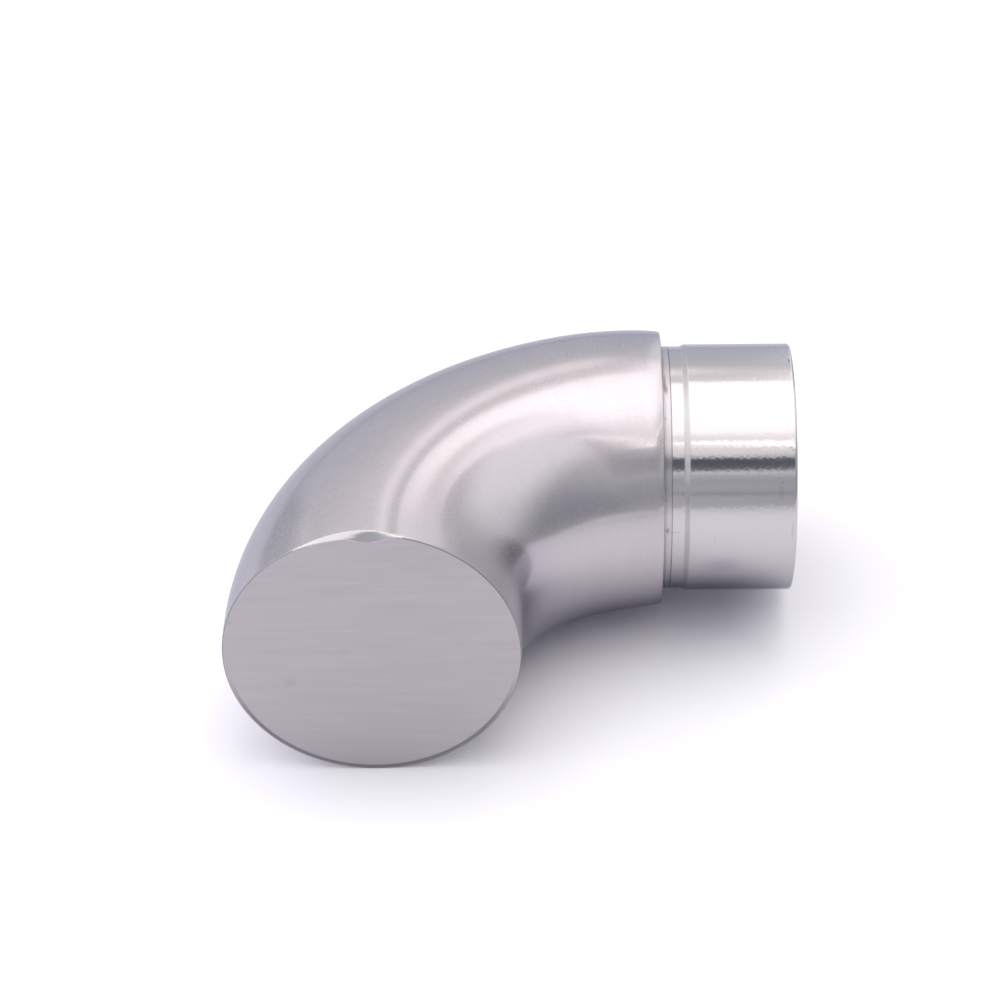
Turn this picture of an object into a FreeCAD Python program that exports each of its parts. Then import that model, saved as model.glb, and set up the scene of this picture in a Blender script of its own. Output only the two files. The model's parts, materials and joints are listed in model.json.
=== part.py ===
import FreeCAD, Part
import math
import os
import Sketcher

# Handrail wall return in stainless steel: a short bend with a closed, flat wall face at one end
# and a turned spigot for the rail tube at the other, cast hollow in one piece.
#
# Frame, in millimetres: the origin is the centre of the wall face, which looks along -Y.
# The centre line leaves it along +Y, turns a quarter circle in the XY plane and goes on as the
# axis of the spigot, which points along +X. +Z is up, and the piece lies on its side.

# Driving dimensions, kept in a spreadsheet of the document
SIZES = {
    "rail_diameter": 42.4,      # the rail tube, and the rim that its end stands flush with
    "rail_wall": 2.0,           # of the rail tube, whose end bears on the rim
    "body_diameter": 43.4,      # the bend is a little fuller and crowns down to the rim
    "bend_radius": 43.2,        # of the centre line
    "crown_turn": 17.0,         # degrees of the bend over which it crowns down
    "end_wall": 2.6,            # thickness behind the wall face
    "casting_wall": 2.7,        # wall of the bend
    "face_edge_round": 0.6,     # ground edge of the wall face
    "rim_edge_round": 0.25,     # broken edge of the rim
    "spigot_diameter": 38.2,    # slides into the rail tube
    "spigot_length": 20.0,      # from the rim
    "spigot_end_round": 0.8,
    "neck_diameter": 37.6,      # relief next to the rim
    "neck_length": 2.7,
    "cone_length": 0.9,         # slope from the neck up to the full spigot
    "corner_width": 0.3,        # tool relief in the corner between rim and neck
    "corner_depth": 0.12,       # into the neck
    "corner_sink": 0.1,         # into the rim, clear of the tube's inner edge
    "score_place": 1.1,         # fine turned line round the neck, from the rim
    "score_width": 0.16,
    "score_depth": 0.08,
    "bore_diameter": 33.0,
    "bore_chamfer": 0.6,
}

# Share of its growth that a crowned stretch has halfway along, so that it leaves the bend tangent
CROWN_HALFWAY = 0.75

# The most of the spigot's wall that one edge of its open end may take
EDGE_SHARE = 0.4

# Sizes worked out from the driving ones, as rules in the spreadsheet's language
CORE_DIAMETER = "(Sizes.body_diameter - 2 * Sizes.casting_wall)"
HALFWAY = "(%g * {0} + %g * {1}) / 2" % (CROWN_HALFWAY, 1 - CROWN_HALFWAY)
BODY_RADIUS = "Sizes.body_diameter / 2"
BODY_HALFWAY = HALFWAY.format("Sizes.body_diameter", "Sizes.rail_diameter")
RIM_RADIUS = "Sizes.rail_diameter / 2"
CORE_RADIUS = CORE_DIAMETER + " / 2"
CORE_HALFWAY = HALFWAY.format(CORE_DIAMETER, "Sizes.bore_diameter")
BORE_RADIUS = "Sizes.bore_diameter / 2"
SPIGOT_RADIUS = "Sizes.spigot_diameter / 2"
NECK_RADIUS = "Sizes.neck_diameter / 2"
CORNER_RADIUS = NECK_RADIUS + " - Sizes.corner_depth"
SEAT_RADIUS = "(Sizes.rail_diameter / 2 - Sizes.rail_wall)"
END_WALL_SHARE = "%g * (Sizes.spigot_diameter - Sizes.bore_diameter) / 2" % EDGE_SHARE
END_ROUND = "min(Sizes.spigot_end_round; %s)" % END_WALL_SHARE
END_CHAMFER = "min(Sizes.bore_chamfer; %s)" % END_WALL_SHARE
RIM_X = "Sizes.bend_radius"
RAIL_Y = "Sizes.end_wall + Sizes.bend_radius"
SPIGOT_END_X = RIM_X + " + Sizes.spigot_length"

# Profiles beside the spigot's axis: (distance from the rim, radius) of each corner
SPIGOT_PROFILE = (
    ("0", "0"),
    ("0", NECK_RADIUS),
    ("Sizes.score_place", NECK_RADIUS),
    ("Sizes.score_place + Sizes.score_width / 2", NECK_RADIUS + " - Sizes.score_depth"),
    ("Sizes.score_place + Sizes.score_width", NECK_RADIUS),
    ("Sizes.neck_length", NECK_RADIUS),
    ("Sizes.neck_length + Sizes.cone_length", SPIGOT_RADIUS),
    ("Sizes.spigot_length", SPIGOT_RADIUS),
    ("Sizes.spigot_length", "0"),
)
CORNER_PROFILE = (
    ("-Sizes.corner_sink", CORNER_RADIUS),
    ("Sizes.corner_width", CORNER_RADIUS),
    ("Sizes.corner_width", SEAT_RADIUS),
    ("-Sizes.corner_sink", SEAT_RADIUS),
)
BORE_PROFILE = (
    ("0", "0"),
    ("0", BORE_RADIUS),
    ("Sizes.spigot_length", BORE_RADIUS),
    ("Sizes.spigot_length", "0"),
)

V = FreeCAD.Vector
START, END, CENTRE = 1, 2, 3       # the points of a sketch's line or arc
CROSSING = (-1, 1)                 # the point where a sketch's own axes cross
FIRST_AXIS, SECOND_AXIS = -1, -2   # a sketch's own axes, as curves
SAME = 1e-3                        # lengths closer than this are taken as equal

# The centre line's edges, in the order that they are drawn
WALL_RUN, PLAIN_TURN, CROWN_TURN = "Edge1", "Edge2", "Edge3"


def make_sheet():
    """The spreadsheet, with one named cell for each driving dimension."""
    cells = doc.addObject("Spreadsheet::Sheet", "Sizes")
    for row, (name, value) in enumerate(SIZES.items(), start=1):
        cells.set("A%d" % row, name)
        cells.set("B%d" % row, str(value))
        cells.setAlias("B%d" % row, name)
    doc.recompute()
    return cells


def size(rule):
    """The plain number that a rule gives."""
    return float(sheet.evalExpression(rule))


def sketch_on_level(name):
    """A sketch on the body's own level plane, which the centre line lies in."""
    sketch = body.newObject("Sketcher::SketchObject", name)
    level = next(f for f in body.Origin.OriginFeatures if f.Role == "XY_Plane")
    sketch.AttachmentSupport = (level, [""])
    sketch.MapMode = "FlatFace"
    return sketch


def bind(sketch, rule, kind, *places):
    """Gives a sketch a dimension that follows the spreadsheet."""
    number = sketch.addConstraint(Sketcher.Constraint(kind, *places, size(rule)))
    sketch.setExpression("Constraints[%d]" % number, rule)


def draw_centreline():
    """The run through the end wall, the plain turn and the crowned turn, in one path."""
    sketch = sketch_on_level("centreline")
    run, radius = size("Sizes.end_wall"), size("Sizes.bend_radius")
    crown = math.radians(size("Sizes.crown_turn"))
    hub = V(radius, run, 0)
    circle = Part.Circle(hub, V(0, 0, 1), radius)
    wall_run = sketch.addGeometry(Part.LineSegment(V(0, 0, 0), V(0, run, 0)))
    plain_turn = sketch.addGeometry(Part.ArcOfCircle(circle, math.pi / 2 + crown, math.pi))
    crown_turn = sketch.addGeometry(Part.ArcOfCircle(circle, math.pi / 2, math.pi / 2 + crown))
    sketch.addConstraint(Sketcher.Constraint("Coincident", wall_run, START, *CROSSING))
    sketch.addConstraint(Sketcher.Constraint("Vertical", wall_run))
    sketch.addConstraint(Sketcher.Constraint("Coincident", wall_run, END, plain_turn, END))
    sketch.addConstraint(Sketcher.Constraint("Coincident", plain_turn, START, crown_turn, END))
    sketch.addConstraint(Sketcher.Constraint("Coincident", plain_turn, CENTRE, crown_turn, CENTRE))
    arms = []
    for turn_edge, point in ((plain_turn, END), (crown_turn, END), (crown_turn, START)):
        arm = sketch.addGeometry(Part.LineSegment(hub, sketch.getPoint(turn_edge, point)), True)
        sketch.addConstraint(Sketcher.Constraint("Coincident", arm, START, plain_turn, CENTRE))
        sketch.addConstraint(Sketcher.Constraint("Coincident", arm, END, turn_edge, point))
        arms.append(arm)
    wall_arm, split_arm, rim_arm = arms
    sketch.addConstraint(Sketcher.Constraint("Horizontal", wall_arm))
    sketch.addConstraint(Sketcher.Constraint("Vertical", rim_arm))
    bind(sketch, "Sizes.end_wall", "Distance", wall_run)
    bind(sketch, "Sizes.bend_radius", "Radius", plain_turn)
    angle = sketch.addConstraint(
        Sketcher.Constraint("Angle", rim_arm, START, split_arm, START, crown)
    )
    sketch.setExpression("Constraints[%d]" % angle, "Sizes.crown_turn * 1 deg")
    doc.recompute()
    return sketch


def draw_ring(name, edge, share, radius):
    """A circle square to the centre line, at a share of the length of one of its edges."""
    ring = body.newObject("Sketcher::SketchObject", name)
    ring.AttachmentSupport = (centreline, [edge])
    ring.MapMode = "NormalToEdge"
    ring.MapPathParameter = share
    circle = ring.addGeometry(Part.Circle(V(0, 0, 0), V(0, 0, 1), size(radius)))
    ring.addConstraint(Sketcher.Constraint("Coincident", circle, CENTRE, *CROSSING))
    bind(ring, radius, "Radius", circle)
    doc.recompute()
    return ring


def draw_profile(name, corners):
    """A closed outline beside the spigot's axis, with its sketch's crossing on the axis at the rim."""
    sketch = sketch_on_level(name)
    sketch.setExpression("AttachmentOffset.Base.x", RIM_X)
    sketch.setExpression("AttachmentOffset.Base.y", RAIL_Y)
    points = [V(size(along), size(radius), 0) for along, radius in corners]
    lines = [
        sketch.addGeometry(Part.LineSegment(here, there))
        for here, there in zip(points, points[1:] + points[:1])
    ]
    for before, line, (along, radius) in zip(lines[-1:] + lines[:-1], lines, corners):
        sketch.addConstraint(Sketcher.Constraint("Coincident", before, END, line, START))
        for rule, kind, axis in (
            (along, "DistanceX", SECOND_AXIS),
            (radius, "DistanceY", FIRST_AXIS),
        ):
            if rule == "0":
                sketch.addConstraint(Sketcher.Constraint("PointOnObject", line, START, axis))
            else:
                bind(sketch, rule, kind, *CROSSING, line, START)
    doc.recompute()
    return sketch


def sweep(kind, name, rings, edges):
    """A pipe along edges of the centre line, of one ring or from ring to ring."""
    pipe = body.newObject("PartDesign::" + kind, name)
    pipe.Profile = rings[0]
    pipe.Spine = (centreline, edges)
    if len(rings) > 1:
        pipe.Transformation = "Multisection"
        pipe.Sections = rings[1:]
    return pipe


def turn(kind, name, corners):
    """A full turn of a profile round the spigot's axis."""
    profile = draw_profile(name + "_profile", corners)
    feature = body.newObject("PartDesign::" + kind, name)
    feature.Profile = profile
    feature.ReferenceAxis = (profile, ["H_Axis"])
    feature.Angle = 360
    return feature


def dress_edge(kind, name, centre, radius, dimension, rule):
    """A fillet or chamfer on the round edge that has that centre and radius."""
    doc.recompute()
    base = body.Tip
    around = 2 * math.pi * size(radius)
    edges = [
        "Edge%d" % number
        for number, edge in enumerate(base.Shape.Edges, start=1)
        if abs(edge.Length - around) < SAME and (edge.CenterOfMass - centre).Length < SAME
    ]
    if len(edges) != 1:
        raise RuntimeError("%s found %d edges to dress, not one" % (name, len(edges)))
    feature = body.newObject("PartDesign::" + kind, name)
    feature.Base = (base, edges)
    feature.setExpression(dimension, rule)
    return feature


doc = FreeCAD.newDocument("WallReturn")
sheet = make_sheet()
body = doc.addObject("PartDesign::Body", "wall_return")
body.Label = "wall_return"
centreline = draw_centreline()

# The bend, and the stretch where it crowns down to the rim
face_ring = draw_ring("face_ring", WALL_RUN, 0, BODY_RADIUS)
split_ring = draw_ring("split_ring", CROWN_TURN, 1, BODY_RADIUS)
crown_ring = draw_ring("crown_ring", CROWN_TURN, 0.5, BODY_HALFWAY)
rim_ring = draw_ring("rim_ring", CROWN_TURN, 0, RIM_RADIUS)
bend = sweep("AdditivePipe", "bend", [face_ring], [WALL_RUN, PLAIN_TURN])
crown = sweep("AdditivePipe", "crown", [split_ring, crown_ring, rim_ring], [CROWN_TURN])

# The spigot, with its relieved neck, its fine turned line and the slope up to its full size,
# and the corner beside the rim, cut a little into both
spigot = turn("Revolution", "spigot", SPIGOT_PROFILE)
corner = turn("Groove", "corner", CORNER_PROFILE)

# The hollow: the casting's core, its narrower stretch under the crown, and the turned bore
core_ring = draw_ring("core_ring", PLAIN_TURN, 1, CORE_RADIUS)
core_split_ring = draw_ring("core_split_ring", CROWN_TURN, 1, CORE_RADIUS)
core_crown_ring = draw_ring("core_crown_ring", CROWN_TURN, 0.5, CORE_HALFWAY)
core_rim_ring = draw_ring("core_rim_ring", CROWN_TURN, 0, BORE_RADIUS)
core_rings = [core_split_ring, core_crown_ring, core_rim_ring]
core = sweep("SubtractivePipe", "core", [core_ring], [PLAIN_TURN])
core_neck = sweep("SubtractivePipe", "core_neck", core_rings, [CROWN_TURN])
bore = turn("Groove", "bore", BORE_PROFILE)

# The edges, each found by its centre and radius
rim_centre = V(size(RIM_X), size(RAIL_Y), 0)
mouth_centre = V(size(SPIGOT_END_X), size(RAIL_Y), 0)
for kind, name, centre, radius, dimension, rule in (
    ("Fillet", "face_edge", V(0, 0, 0), BODY_RADIUS, "Radius", "Sizes.face_edge_round"),
    ("Fillet", "rim_edge", rim_centre, RIM_RADIUS, "Radius", "Sizes.rim_edge_round"),
    ("Fillet", "spigot_edge", mouth_centre, SPIGOT_RADIUS, "Radius", END_ROUND),
    ("Chamfer", "bore_edge", mouth_centre, BORE_RADIUS, "Size", END_CHAMFER),
):
    dress_edge(kind, name, centre, radius, dimension, rule)
doc.recompute()

for item in doc.Objects:
    if "Invalid" in item.State or "Error" in item.State:
        raise RuntimeError("%s is %s" % (item.Name, item.State))
for before, after in ((bend, crown), (crown, spigot)):
    if after.Shape.Volume <= before.Shape.Volume:
        raise RuntimeError("%s adds nothing" % after.Name)
for before, after in ((spigot, corner), (corner, core), (core, core_neck), (core_neck, bore)):
    if after.Shape.Volume >= before.Shape.Volume:
        raise RuntimeError("%s cuts nothing" % after.Name)
if body.Shape.isNull() or not body.Shape.isValid() or len(body.Shape.Solids) != 1:
    raise RuntimeError("wall_return isn't one valid solid")

os.makedirs("parts", exist_ok=True)
body.Shape.exportStep("parts/%s.step" % body.Label)
solid = body.Shape.Solids[0]
print("wall_return: %.1f mm3, centre of mass %s" % (solid.Volume, solid.CenterOfMass))
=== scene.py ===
import json
import math
from functools import partialmethod

import bmesh
import bpy
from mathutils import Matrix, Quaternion, Vector


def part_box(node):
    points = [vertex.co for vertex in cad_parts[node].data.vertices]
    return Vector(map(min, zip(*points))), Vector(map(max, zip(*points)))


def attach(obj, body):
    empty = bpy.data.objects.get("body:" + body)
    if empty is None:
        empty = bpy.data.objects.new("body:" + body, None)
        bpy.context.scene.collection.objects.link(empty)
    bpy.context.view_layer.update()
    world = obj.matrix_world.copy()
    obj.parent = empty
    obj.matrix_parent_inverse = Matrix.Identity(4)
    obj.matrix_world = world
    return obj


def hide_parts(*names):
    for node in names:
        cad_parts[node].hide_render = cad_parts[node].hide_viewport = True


# Handrail wall return: a hollow stainless casting, satin on the bend and the wall face and
# turned bright on the spigot, lying on its side on a pale floor in soft studio light.

bl_info = {
    "name": "Handrail Wall Return",
    "version": (1, 0, 0),
    "blender": (4, 5, 0),
    "location": "3D View > Sidebar > Wall Return",
    "description": "Models a handrail wall return and its studio",
    "category": "Add Mesh",
}

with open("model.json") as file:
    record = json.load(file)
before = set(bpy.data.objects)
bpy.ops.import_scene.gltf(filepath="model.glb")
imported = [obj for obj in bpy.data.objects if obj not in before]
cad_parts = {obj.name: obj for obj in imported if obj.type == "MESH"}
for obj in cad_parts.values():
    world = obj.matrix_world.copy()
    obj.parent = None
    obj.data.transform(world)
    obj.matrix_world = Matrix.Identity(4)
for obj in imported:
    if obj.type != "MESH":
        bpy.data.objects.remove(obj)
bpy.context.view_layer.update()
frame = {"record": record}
NODE_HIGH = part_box("wall_return")[1]
MOUNTS = {mount["name"]: mount for mount in frame["record"]["mounts"]}

MM = 0.001
BODY_RADIUS = NODE_HIGH.z
RIM_PLANE = MOUNTS["tube_stop"]["pos_m"][0]
RAIL_AXIS = MOUNTS["rail_spigot"]["pos_m"][1]
SPIGOT_RADIUS = MOUNTS["rail_spigot"]["dims"]["r_mm"] * MM

# How finely the round forms are divided
AROUND = 160
DEGREES_A_STEP = 1.0
CROWN_STEPS = 51
ROUND_STEPS = 6
CONE_STEPS = 3
EDGE_LOOPS = 16
END_LOOPS = 14
# Insets of a round face's rings, as shares of its radius
FACE_INSETS = (0.12, 0.2, 0.2, 0.2, 0.2)
# Width of the narrow faces that hold an edge's shape
SUPPORT = 0.12 * MM
# Edges that turn by more than this stay sharp
SHARP_TURN = math.radians(25)
# How near two places are that count as the same
TOUCH = 0.002 * MM
# How the skin falls towards an end that the polishing rolled over: the power of the way
ROLL_POWER = 2.5


def length(name, default, about):
    """A property for a length in metres."""
    return bpy.props.FloatProperty(
        name=name, description=about, default=default, min=0, precision=5,
        subtype="DISTANCE", unit="LENGTH",
    )


def share(name, default, about, most=1.0):
    """A property for a plain number from 0 up."""
    return bpy.props.FloatProperty(name=name, description=about, default=default, min=0, max=most)


def colour(name, default, about):
    """A property for a colour."""
    return bpy.props.FloatVectorProperty(
        name=name, description=about, default=default, size=3, min=0, max=1, subtype="COLOR",
    )


def angle(name, degrees, about):
    """A property for an angle, given in degrees."""
    return bpy.props.FloatProperty(
        name=name, description=about, default=math.radians(degrees), subtype="ANGLE",
        unit="ROTATION",
    )


class WallReturnSizes(bpy.types.PropertyGroup):
    body_radius: length("Body radius", BODY_RADIUS, "Outside radius of the bend")
    bend_radius: length("Bend radius", RIM_PLANE, "Radius of the bend's centre line")
    end_wall: length("End wall", RAIL_AXIS - RIM_PLANE, "Thickness behind the wall face")
    casting_wall: length("Casting wall", 2.7 * MM, "Wall of the bend")
    crown_turn: angle("Crown turn", 17.0, "Part of the bend that crowns down to the rim")
    rim_radius: length("Rim radius", 21.2 * MM, "Outside radius where the rail tube ends")
    seat_radius: length("Seat radius", 19.2 * MM, "Bore of the rail tube that bears on the rim")
    corner_radius: length("Corner radius", 18.68 * MM, "Bottom of the relief beside the rim")
    corner_sink: length("Corner sink", 0.1 * MM, "Depth of the relief into the rim")
    corner_width: length("Corner width", 0.3 * MM, "Width of the relief along the neck")
    neck_radius: length("Neck radius", 18.8 * MM, "Relieved neck beside the rim")
    neck_length: length("Neck length", 3.15 * MM, "From the rim to the slope")
    cone_length: length("Cone length", 0.68 * MM, "Slope up to the full spigot")
    score_place: length("Score place", 1.1 * MM, "Fine turned line, from the rim")
    score_width: length("Score width", 0.16 * MM, "Width of the turned line")
    score_depth: length("Score depth", 0.08 * MM, "Depth of the turned line")
    spigot_radius: length("Spigot radius", SPIGOT_RADIUS, "Radius that enters the rail tube")
    spigot_length: length("Spigot length", NODE_HIGH.x - RIM_PLANE, "From the rim to the end")
    bore_radius: length("Bore radius", 16.5 * MM, "Radius of the open mouth")
    face_edge_round: length("Face edge", 0.14 * MM, "Broken edge of the wall face")
    top_rings: length("Top rings", 2.0 * MM, "Width of the fine rings along the face's edge")
    top_drop: length("Top facet", 0.6 * MM, "How far down the face the top edge was ground")
    lens_drop: length("Top lens", 0.8 * MM, "How much further down the lens under it goes")
    wall_fall: length("Wall fall", 0.03 * MM, "How far the polishing rolled the wall end over")
    wall_fall_length: length("Wall fall length", 0.8 * MM, "Length of the rolled-over wall end")
    rim_edge_round: length("Rim edge", 0.25 * MM, "Broken edge of the rim")
    rim_fall: length("Rim fall", 0.13 * MM, "How far the polishing rolled the rim over")
    rim_fall_length: length("Rim fall length", 2.8 * MM, "Length of the rolled-over rim")
    end_round: length("Spigot edge", 0.4 * MM, "Rounded end of the spigot")
    bore_chamfer: length("Bore chamfer", 0.6 * MM, "Chamfer of the open mouth")
    cone_round: length("Cone edges", 0.1 * MM, "Softened edges of the slope")


def deselect_all():
    bpy.ops.object.select_all(action="DESELECT")


def select_where(piece, wanted):
    """In edit mode, selects the vertices whose places pass a test, and what lies between them."""
    mesh = bmesh.from_edit_mesh(piece.data)
    bpy.ops.mesh.select_mode(type="VERT")
    bpy.ops.mesh.select_all(action="DESELECT")
    for vertex in mesh.verts:
        vertex.select = wanted(vertex.co)
    mesh.select_flush_mode()
    bmesh.update_edit_mesh(piece.data)


def extrude_ring(move, centre, old_radius, new_radius):
    """Extrudes the selected ring by a move and then brings it to a new radius about a centre."""
    bpy.ops.mesh.extrude_region_move(TRANSFORM_OT_translate={"value": move})
    size_ring(centre, old_radius, new_radius)


def size_ring(centre, old_radius, new_radius):
    """Brings the selected ring from one radius to another about its centre."""
    factor = new_radius / old_radius
    if factor != 1:
        bpy.ops.transform.resize(value=(factor,) * 3, center_override=centre)


def turn_ring(sizes, degrees, steps):
    """Spins the selected ring about the bend's hub, away from the wall for a positive angle."""
    bpy.ops.mesh.spin(
        steps=steps, angle=math.radians(degrees), axis=(0, 0, 1),
        center=(sizes.bend_radius, sizes.end_wall, 0),
    )


def centre_at(sizes, turned):
    """The centre line's point once it has turned by an angle from the wall."""
    return (
        sizes.bend_radius * (1 - math.cos(turned)),
        sizes.end_wall + sizes.bend_radius * math.sin(turned),
        0,
    )


def rolled_over(off_end, roll_length):
    """How far the skin is rolled over at a distance from its end: from 0 to 1 at the end."""
    return max(1 - off_end / roll_length, 0) ** ROLL_POWER


def crown_ring(sizes, start_radius, end_radius, outwards):
    """Leads the selected ring along the crowned part of the bend, from one radius to another.
    The radius leaves the plain bend tangent, so its change grows with the square of the way,
    and the skin falls off once more just before the rim, where the polishing rolled it over."""
    quarter = math.pi / 2
    step = sizes.crown_turn / CROWN_STEPS
    plain, rim = (start_radius, end_radius) if outwards else (end_radius, start_radius)
    fall = sizes.rim_fall if outwards else 0
    crown_length = sizes.crown_turn * sizes.bend_radius
    radius = start_radius
    for number in range(1, CROWN_STEPS + 1):
        way = number / CROWN_STEPS if outwards else 1 - number / CROWN_STEPS
        turn_ring(sizes, math.degrees(step if outwards else -step), 1)
        rolled = rolled_over((1 - way) * crown_length, sizes.rim_fall_length)
        new_radius = plain + (rim - plain) * way ** 2 - fall * rolled
        turned = quarter - sizes.crown_turn * (1 - way)
        size_ring(centre_at(sizes, turned), radius, new_radius)
        radius = new_radius


def lead_ring(sizes, corners):
    """Leads the selected ring along the spigot's axis through corners given as (distance from
    the rim, radius), starting on the rim plane or where the last corner was."""
    along = corners[0][0]
    radius = corners[0][1]
    for new_along, new_radius in corners[1:]:
        centre = (sizes.bend_radius + new_along, sizes.end_wall + sizes.bend_radius, 0)
        extrude_ring((new_along - along, 0, 0), centre, radius, new_radius)
        along, radius = new_along, new_radius


def spigot_corners(sizes):
    """The turned outline from the rim's outer edge to the mouth, and back along the bore."""
    s = sizes
    slope_end = s.neck_length + s.cone_length
    score_end = s.score_place + s.score_width
    clear = SUPPORT + s.end_round
    rim = s.rim_radius - s.rim_fall
    return [
        (0, rim),
        (0, rim - s.rim_edge_round - SUPPORT),
        (0, s.seat_radius),
        (-s.corner_sink, s.seat_radius),
        (-s.corner_sink, s.corner_radius),
        (s.corner_width, s.corner_radius),
        (s.corner_width, s.neck_radius),
        (s.corner_width + SUPPORT, s.neck_radius),
        (s.score_place - SUPPORT, s.neck_radius),
        (s.score_place, s.neck_radius),
        (s.score_place + s.score_width / 2, s.neck_radius - s.score_depth),
        (score_end, s.neck_radius),
        (score_end + SUPPORT, s.neck_radius),
        (s.neck_length - s.cone_round - SUPPORT, s.neck_radius),
        (s.neck_length, s.neck_radius),
        (slope_end, s.spigot_radius),
        (slope_end + s.cone_round + SUPPORT, s.spigot_radius),
        (s.spigot_length - clear, s.spigot_radius),
        (s.spigot_length, s.spigot_radius),
        (s.spigot_length, s.spigot_radius - clear),
        (s.spigot_length, s.bore_radius + s.bore_chamfer + SUPPORT),
        (s.spigot_length, s.bore_radius),
        (s.spigot_length - s.bore_chamfer - SUPPORT, s.bore_radius),
        (0, s.bore_radius),
    ]


def bevel_ring(piece, sizes, along, radius, width, steps):
    """Bevels the ring round the spigot's axis that has that place and radius."""
    x = sizes.bend_radius + along
    axis_y = sizes.end_wall + sizes.bend_radius
    select_where(piece, lambda p: (
        abs(p.x - x) < TOUCH and abs(math.hypot(p.y - axis_y, p.z) - radius) < TOUCH
    ))
    bpy.ops.mesh.bevel(offset_type="OFFSET", offset=width, segments=steps, affect="EDGES")


def model_casting(sizes):
    """The whole casting as one closed mesh: the skin from the wall face to the mouth, and from
    there the hollow back to the inner side of the end wall."""
    s = sizes
    deselect_all()
    bpy.ops.mesh.primitive_circle_add(
        vertices=AROUND, radius=s.body_radius - s.wall_fall, fill_type="NOTHING",
        rotation=(math.pi / 2, 0, 0),
    )
    piece = bpy.context.object
    piece.name = piece.data.name = "casting"
    bpy.ops.object.transform_apply(location=False, rotation=True, scale=False)
    bpy.ops.object.mode_set(mode="EDIT")
    bpy.ops.mesh.select_all(action="SELECT")

    # The skin of the bend
    along, radius = 0, s.body_radius - s.wall_fall
    first = s.face_edge_round + SUPPORT
    for number in range(END_LOOPS + 1):
        new_along = first + (s.end_wall - first) * number / END_LOOPS
        new_radius = s.body_radius - s.wall_fall * rolled_over(new_along, s.wall_fall_length)
        extrude_ring((0, new_along - along, 0), (0, new_along, 0), radius, new_radius)
        along, radius = new_along, new_radius
    plain = 90 - math.degrees(s.crown_turn)
    turn_ring(s, plain, round(plain / DEGREES_A_STEP))
    crown_ring(s, s.body_radius, s.rim_radius, True)

    # The spigot and its bore
    lead_ring(s, spigot_corners(s))

    # The hollow of the bend, back to the end wall
    core_radius = s.body_radius - s.casting_wall
    crown_ring(s, s.bore_radius, core_radius, False)
    turn_ring(s, -plain, round(plain / DEGREES_A_STEP))
    bpy.ops.mesh.edge_face_add()
    inset_face(core_radius, ())

    # The wall face and the edges
    select_where(piece, lambda p: p.y < TOUCH)
    bpy.ops.mesh.edge_face_add()
    select_where(piece, lambda p: p.y < TOUCH)
    bpy.ops.mesh.region_to_loop()
    bpy.ops.mesh.bevel(
        offset_type="OFFSET", offset=s.face_edge_round, segments=ROUND_STEPS, affect="EDGES",
    )
    select_where(piece, lambda p: p.y < TOUCH / 2)
    inset_face(s.body_radius - s.top_rings, [s.top_rings / EDGE_LOOPS] * EDGE_LOOPS)
    slope_end = s.neck_length + s.cone_length
    bevel_ring(piece, s, 0, s.rim_radius - s.rim_fall, s.rim_edge_round, ROUND_STEPS)
    bevel_ring(piece, s, s.neck_length, s.neck_radius, s.cone_round, CONE_STEPS)
    bevel_ring(piece, s, slope_end, s.spigot_radius, s.cone_round, CONE_STEPS)
    bevel_ring(piece, s, s.spigot_length, s.spigot_radius, s.end_round, ROUND_STEPS)
    bevel_ring(piece, s, s.spigot_length, s.bore_radius, s.bore_chamfer, 1)

    bpy.ops.mesh.select_all(action="SELECT")
    bpy.ops.mesh.normals_make_consistent(inside=False)
    bpy.ops.object.mode_set(mode="OBJECT")
    grind_top_edge(piece, s)
    bpy.ops.object.shade_smooth_by_angle(angle=SHARP_TURN)
    return piece


def inset_face(radius, first_insets):
    """Insets the selected round face to rings of quads, with a fan at the middle."""
    bpy.ops.mesh.inset(thickness=SUPPORT)
    for thickness in (*first_insets, *(radius * part for part in FACE_INSETS)):
        bpy.ops.mesh.inset(thickness=thickness)
    bpy.ops.mesh.poke()


def grind_top_edge(piece, sizes):
    """Grinds the wall face's edge over by hand at the top: a steep facet that runs out to both
    sides, longer on the left, and under it a short, flatter one like a lens. The face's rings
    are first led along the ground edge."""
    s = sizes
    edge = s.body_radius - s.face_edge_round
    inner = s.body_radius - s.top_rings
    ground = piece.data.attributes.new("ground", "FLOAT", "POINT").data
    for vertex in piece.data.vertices:
        x, y, z = vertex.co
        radius = math.hypot(x, z)
        if z <= 0 or y > GRIND_BACK:
            continue
        across = x * s.body_radius / radius
        side = (across - TOP_MIDDLE) / (TOP_LEFT if across < TOP_MIDDLE else TOP_RIGHT)
        if abs(side) >= 1:
            continue
        cuts = [(TOP_TILT, s.top_drop * (1 - side ** 2) ** TOP_POWER)]
        lens_side = (across - LENS_MIDDLE) / LENS_HALF_WIDTH
        if abs(lens_side) < 1:
            cuts.append((LENS_TILT, cuts[0][1] + s.lens_drop * (1 - lens_side ** 2)))
        boundary = min(s.body_radius - cuts[-1][1], edge - SUPPORT / 2)
        new_radius = radius
        if y < TOUCH / 2 and inner < radius < edge:
            share_out = 2 * (radius - inner) / (edge - inner)
            led = (inner + (boundary - inner) * share_out if share_out <= 1
                   else boundary + (edge - boundary) * (share_out - 1))
            new_radius += (led - radius) * min(cuts[-1][1] / (2 * SUPPORT), 1)
        moved = False
        if y > TOUCH / 2 or new_radius > boundary + TOUCH:
            for tilt, drop in cuts:
                up, out = math.sin(tilt), math.cos(tilt)
                cut = up * (new_radius - s.body_radius + drop) - out * y
                if cut > 0:
                    new_radius, y, moved = new_radius - cut * up, y + cut * out, True
        vertex.co = (x * new_radius / radius, y, z * new_radius / radius)
        if moved:
            ground[vertex.index].value = 1


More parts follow.
